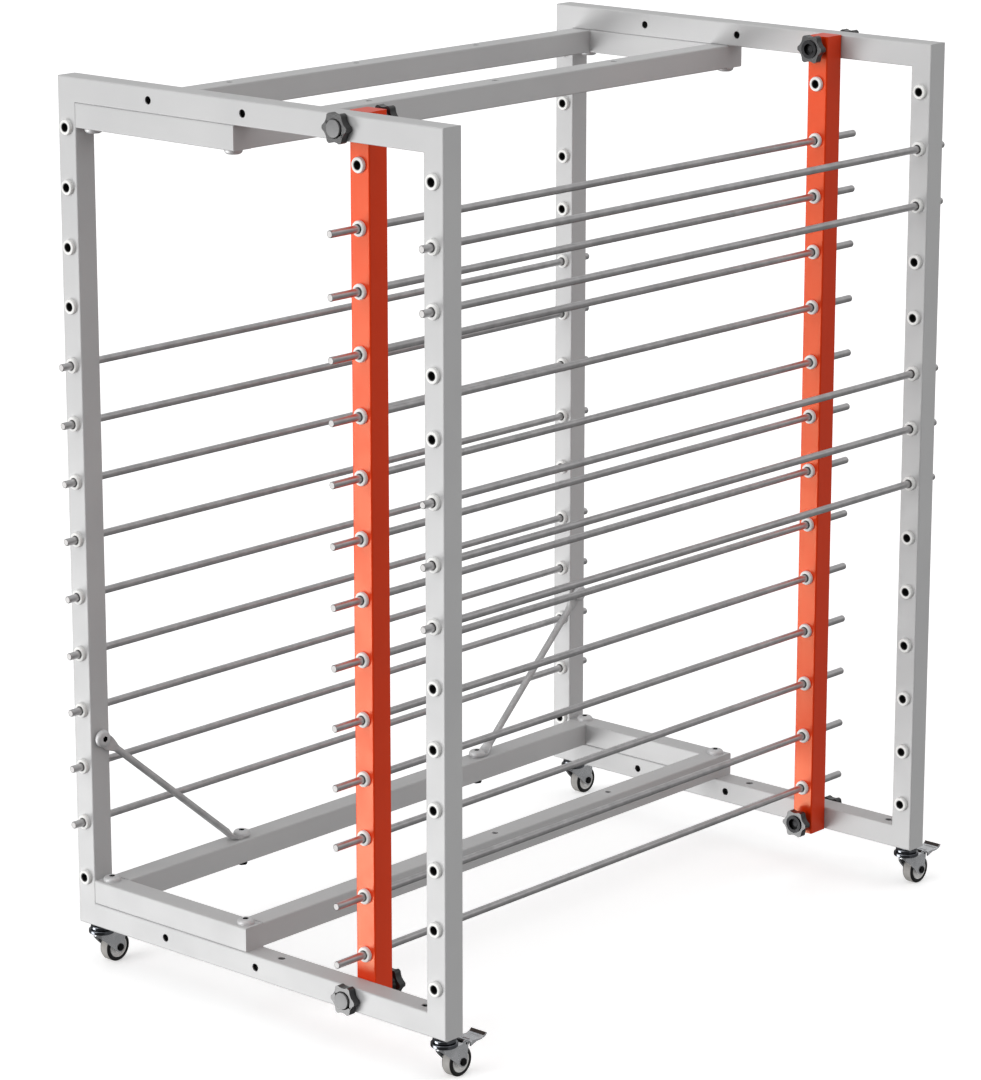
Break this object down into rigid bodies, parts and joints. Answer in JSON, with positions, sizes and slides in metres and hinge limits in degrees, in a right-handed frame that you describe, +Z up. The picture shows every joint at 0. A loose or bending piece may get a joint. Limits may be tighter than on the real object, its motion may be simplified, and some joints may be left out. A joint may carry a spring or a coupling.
{
  "type": "panel drying rack",
  "caption": "Mobile panel drying rack of square tube on braked casters, with bushed posts, clamped adjustable posts and loose sliding rods that carry panels.",
  "frame": {"origin": "on the floor, under the middle of the rack's box", "axes": "+X to the right seen from the near end, +Y from the near end to the far end, +Z up"},
  "size_m": [0.82, 1.3302, 1.4841],
  "materials": {
    "frame_paint": "satin powder coat",
    "post_paint": "satin powder coat",
    "brace_steel": "zinc plated",
    "bush_plastic": "moulded",
    "screw_zinc": "zinc plated",
    "nut_steel": "blackened",
    "rod_steel": "bright drawn",
    "knob_plastic": "moulded",
    "caster_zinc": "bright zinc",
    "wheel_rubber": "moulded",
    "pedal_zinc": "bright zinc"
  },
  "bodies": {
    "rack_frame": {"near_end_frame": "frame_paint", "far_end_frame": "frame_paint", "bottom_connecting_frame": "frame_paint", "top_connecting_frame": "frame_paint", "near_adjustable_post": "post_paint", "far_adjustable_post": "post_paint", "near_diagonal_brace": "brace_steel", "far_diagonal_brace": "brace_steel", "fixed_post_bushes": "bush_plastic", "adjustable_post_bushes": "bush_plastic", "button_head_screws": "screw_zinc", "hexagon_nuts": "nut_steel", "caster_stems": "caster_zinc"},
    "left_rod_02": {"left_rod_02": "rod_steel"},
    "left_rod_03": {"left_rod_03": "rod_steel"},
    "left_rod_04": {"left_rod_04": "rod_steel"},
    "left_rod_05": {"left_rod_05": "rod_steel"},
    "left_rod_06": {"left_rod_06": "rod_steel"},
    "left_rod_07": {"left_rod_07": "rod_steel"},
    "left_rod_08": {"left_rod_08": "rod_steel"},
    "left_rod_09": {"left_rod_09": "rod_steel"},
    "left_rod_10": {"left_rod_10": "rod_steel"},
    "centre_rod_01": {"centre_rod_01": "rod_steel"},
    "centre_rod_02": {"centre_rod_02": "rod_steel"},
    "centre_rod_03": {"centre_rod_03": "rod_steel"},
    "centre_rod_04": {"centre_rod_04": "rod_steel"},
    "centre_rod_05": {"centre_rod_05": "rod_steel"},
    "centre_rod_06": {"centre_rod_06": "rod_steel"},
    "centre_rod_07": {"centre_rod_07": "rod_steel"},
    "centre_rod_08": {"centre_rod_08": "rod_steel"},
    "centre_rod_09": {"centre_rod_09": "rod_steel"},
    "centre_rod_10": {"centre_rod_10": "rod_steel"},
    "centre_rod_11": {"centre_rod_11": "rod_steel"},
    "centre_rod_12": {"centre_rod_12": "rod_steel"},
    "centre_rod_13": {"centre_rod_13": "rod_steel"},
    "right_rod_07": {"right_rod_07": "rod_steel"},
    "right_rod_08": {"right_rod_08": "rod_steel"},
    "right_rod_09": {"right_rod_09": "rod_steel"},
    "right_rod_12": {"right_rod_12": "rod_steel"},
    "right_rod_13": {"right_rod_13": "rod_steel"},
    "near_bottom_clamp_knob": {"near_bottom_clamp_knob": "knob_plastic"},
    "near_bottom_lock_knob": {"near_bottom_lock_knob": "knob_plastic"},
    "near_top_clamp_knob": {"near_top_clamp_knob": "knob_plastic"},
    "near_top_lock_knob": {"near_top_lock_knob": "knob_plastic"},
    "far_bottom_clamp_knob": {"far_bottom_clamp_knob": "knob_plastic"},
    "far_bottom_lock_knob": {"far_bottom_lock_knob": "knob_plastic"},
    "far_top_clamp_knob": {"far_top_clamp_knob": "knob_plastic"},
    "far_top_lock_knob": {"far_top_lock_knob": "knob_plastic"},
    "near_left_caster_fork": {"near_left_caster_fork": "caster_zinc"},
    "near_left_caster_wheel": {"near_left_caster_wheel": "wheel_rubber"},
    "near_left_brake_pedal": {"near_left_brake_pedal": "pedal_zinc"},
    "near_right_caster_fork": {"near_right_caster_fork": "caster_zinc"},
    "near_right_caster_wheel": {"near_right_caster_wheel": "wheel_rubber"},
    "near_right_brake_pedal": {"near_right_brake_pedal": "pedal_zinc"},
    "far_left_caster_fork": {"far_left_caster_fork": "caster_zinc"},
    "far_left_caster_wheel": {"far_left_caster_wheel": "wheel_rubber"},
    "far_left_brake_pedal": {"far_left_brake_pedal": "pedal_zinc"},
    "far_right_caster_fork": {"far_right_caster_fork": "caster_zinc"},
    "far_right_caster_wheel": {"far_right_caster_wheel": "wheel_rubber"},
    "far_right_brake_pedal": {"far_right_brake_pedal": "pedal_zinc"}
  },
  "joints": [
    {"name": "left_rod_02_slide", "type": "slide", "parent": "rack_frame", "child": "left_rod_02", "axis": [0, -1, 0], "range_m": [-1.15, 1.15]},
    {"name": "left_rod_03_slide", "type": "slide", "parent": "rack_frame", "child": "left_rod_03", "axis": [0, -1, 0], "range_m": [-1.15, 1.15]},
    {"name": "left_rod_04_slide", "type": "slide", "parent": "rack_frame", "child": "left_rod_04", "axis": [0, -1, 0], "range_m": [-1.15, 1.15]},
    {"name": "left_rod_05_slide", "type": "slide", "parent": "rack_frame", "child": "left_rod_05", "axis": [0, -1, 0], "range_m": [-1.15, 1.15]},
    {"name": "left_rod_06_slide", "type": "slide", "parent": "rack_frame", "child": "left_rod_06", "axis": [0, -1, 0], "range_m": [-1.15, 1.15]},
    {"name": "left_rod_07_slide", "type": "slide", "parent": "rack_frame", "child": "left_rod_07", "axis": [0, -1, 0], "range_m": [-1.15, 1.15]},
    {"name": "left_rod_08_slide", "type": "slide", "parent": "rack_frame", "child": "left_rod_08", "axis": [0, -1, 0], "range_m": [-1.15, 1.15]},
    {"name": "left_rod_09_slide", "type": "slide", "parent": "rack_frame", "child": "left_rod_09", "axis": [0, -1, 0], "range_m": [-1.15, 1.15]},
    {"name": "left_rod_10_slide", "type": "slide", "parent": "rack_frame", "child": "left_rod_10", "axis": [0, -1, 0], "range_m": [-1.15, 1.15]},
    {"name": "centre_rod_01_slide", "type": "slide", "parent": "rack_frame", "child": "centre_rod_01", "axis": [0, -1, 0], "range_m": [-1.15, 1.15]},
    {"name": "centre_rod_02_slide", "type": "slide", "parent": "rack_frame", "child": "centre_rod_02", "axis": [0, -1, 0], "range_m": [-1.15, 1.15]},
    {"name": "centre_rod_03_slide", "type": "slide", "parent": "rack_frame", "child": "centre_rod_03", "axis": [0, -1, 0], "range_m": [-1.15, 1.15]},
    {"name": "centre_rod_04_slide", "type": "slide", "parent": "rack_frame", "child": "centre_rod_04", "axis": [0, -1, 0], "range_m": [-1.15, 1.15]},
    {"name": "centre_rod_05_slide", "type": "slide", "parent": "rack_frame", "child": "centre_rod_05", "axis": [0, -1, 0], "range_m": [-1.15, 1.15]},
    {"name": "centre_rod_06_slide", "type": "slide", "parent": "rack_frame", "child": "centre_rod_06", "axis": [0, -1, 0], "range_m": [-1.15, 1.15]},
    {"name": "centre_rod_07_slide", "type": "slide", "parent": "rack_frame", "child": "centre_rod_07", "axis": [0, -1, 0], "range_m": [-1.15, 1.15]},
    {"name": "centre_rod_08_slide", "type": "slide", "parent": "rack_frame", "child": "centre_rod_08", "axis": [0, -1, 0], "range_m": [-1.15, 1.15]},
    {"name": "centre_rod_09_slide", "type": "slide", "parent": "rack_frame", "child": "centre_rod_09", "axis": [0, -1, 0], "range_m": [-1.15, 1.15]},
    {"name": "centre_rod_10_slide", "type": "slide", "parent": "rack_frame", "child": "centre_rod_10", "axis": [0, -1, 0], "range_m": [-1.15, 1.15]},
    {"name": "centre_rod_11_slide", "type": "slide", "parent": "rack_frame", "child": "centre_rod_11", "axis": [0, -1, 0], "range_m": [-1.15, 1.15]},
    {"name": "centre_rod_12_slide", "type": "slide", "parent": "rack_frame", "child": "centre_rod_12", "axis": [0, -1, 0], "range_m": [-1.15, 1.15]},
    {"name": "centre_rod_13_slide", "type": "slide", "parent": "rack_frame", "child": "centre_rod_13", "axis": [0, -1, 0], "range_m": [-1.15, 1.15]},
    {"name": "right_rod_07_slide", "type": "slide", "parent": "rack_frame", "child": "right_rod_07", "axis": [0, -1, 0], "range_m": [-1.15, 1.15]},
    {"name": "right_rod_08_slide", "type": "slide", "parent": "rack_frame", "child": "right_rod_08", "axis": [0, -1, 0], "range_m": [-1.15, 1.15]},
    {"name": "right_rod_09_slide", "type": "slide", "parent": "rack_frame", "child": "right_rod_09", "axis": [0, -1, 0], "range_m": [-1.15, 1.15]},
    {"name": "right_rod_12_slide", "type": "slide", "parent": "rack_frame", "child": "right_rod_12", "axis": [0, -1, 0], "range_m": [-1.15, 1.15]},
    {"name": "right_rod_13_slide", "type": "slide", "parent": "rack_frame", "child": "right_rod_13", "axis": [0, -1, 0], "range_m": [-1.15, 1.15]},
    {"name": "near_bottom_clamp_knob_turn", "type": "hinge", "parent": "rack_frame", "child": "near_bottom_clamp_knob", "pos_m": [0.205, -0.6391, 0.093], "axis": [0, -1, 0], "continuous": true},
    {"name": "near_bottom_lock_knob_turn", "type": "hinge", "parent": "rack_frame", "child": "near_bottom_lock_knob", "pos_m": [0.205, -0.6391, 0.093], "axis": [0, -1, 0], "continuous": true},
    {"name": "near_top_clamp_knob_turn", "type": "hinge", "parent": "rack_frame", "child": "near_top_clamp_knob", "pos_m": [0.205, -0.6391, 1.461], "axis": [0, -1, 0], "continuous": true},
    {"name": "near_top_lock_knob_turn", "type": "hinge", "parent": "rack_frame", "child": "near_top_lock_knob", "pos_m": [0.205, -0.6391, 1.461], "axis": [0, -1, 0], "continuous": true},
    {"name": "far_bottom_clamp_knob_turn", "type": "hinge", "parent": "rack_frame", "child": "far_bottom_clamp_knob", "pos_m": [0.205, 0.6039, 0.093], "axis": [0, 1, 0], "continuous": true},
    {"name": "far_bottom_lock_knob_turn", "type": "hinge", "parent": "rack_frame", "child": "far_bottom_lock_knob", "pos_m": [0.205, 0.6039, 0.093], "axis": [0, 1, 0], "continuous": true},
    {"name": "far_top_clamp_knob_turn", "type": "hinge", "parent": "rack_frame", "child": "far_top_clamp_knob", "pos_m": [0.205, 0.6039, 1.461], "axis": [0, 1, 0], "continuous": true},
    {"name": "far_top_lock_knob_turn", "type": "hinge", "parent": "rack_frame", "child": "far_top_lock_knob", "pos_m": [0.205, 0.6039, 1.461], "axis": [0, 1, 0], "continuous": true},
    {"name": "near_left_caster_swivel", "type": "hinge", "parent": "rack_frame", "child": "near_left_caster_fork", "pos_m": [-0.378, -0.6191, 0.061], "axis": [0, 0, 1], "continuous": true},
    {"name": "near_left_wheel_roll", "type": "hinge", "parent": "near_left_caster_fork", "child": "near_left_caster_wheel", "pos_m": [-0.378, -0.5911, 0.025], "axis": [1, 0, 0], "continuous": true},
    {"name": "near_left_brake_press", "type": "hinge", "parent": "near_left_caster_fork", "child": "near_left_brake_pedal", "pos_m": [-0.378, -0.5831, 0.0535], "axis": [-1, 0, 0], "range_deg": [0, 14]},
    {"name": "near_right_caster_swivel", "type": "hinge", "parent": "rack_frame", "child": "near_right_caster_fork", "pos_m": [0.3884, -0.6191, 0.061], "axis": [0, 0, 1], "continuous": true},
    {"name": "near_right_wheel_roll", "type": "hinge", "parent": "near_right_caster_fork", "child": "near_right_caster_wheel", "pos_m": [0.3884, -0.5911, 0.025], "axis": [1, 0, 0], "continuous": true},
    {"name": "near_right_brake_press", "type": "hinge", "parent": "near_right_caster_fork", "child": "near_right_brake_pedal", "pos_m": [0.3884, -0.5831, 0.0535], "axis": [-1, 0, 0], "range_deg": [0, 14]},
    {"name": "far_left_caster_swivel", "type": "hinge", "parent": "rack_frame", "child": "far_left_caster_fork", "pos_m": [-0.378, 0.5839, 0.061], "axis": [0, 0, 1], "continuous": true},
    {"name": "far_left_wheel_roll", "type": "hinge", "parent": "far_left_caster_fork", "child": "far_left_caster_wheel", "pos_m": [-0.378, 0.6119, 0.025], "axis": [1, 0, 0], "continuous": true},
    {"name": "far_left_brake_press", "type": "hinge", "parent": "far_left_caster_fork", "child": "far_left_brake_pedal", "pos_m": [-0.378, 0.6199, 0.0535], "axis": [-1, 0, 0], "range_deg": [0, 14]},
    {"name": "far_right_caster_swivel", "type": "hinge", "parent": "rack_frame", "child": "far_right_caster_fork", "pos_m": [0.3884, 0.5839, 0.061], "axis": [0, 0, 1], "continuous": true},
    {"name": "far_right_wheel_roll", "type": "hinge", "parent": "far_right_caster_fork", "child": "far_right_caster_wheel", "pos_m": [0.3884, 0.6119, 0.025], "axis": [1, 0, 0], "continuous": true},
    {"name": "far_right_brake_press", "type": "hinge", "parent": "far_right_caster_fork", "child": "far_right_brake_pedal", "pos_m": [0.3884, 0.6199, 0.0535], "axis": [-1, 0, 0], "range_deg": [0, 14]}
  ]
}
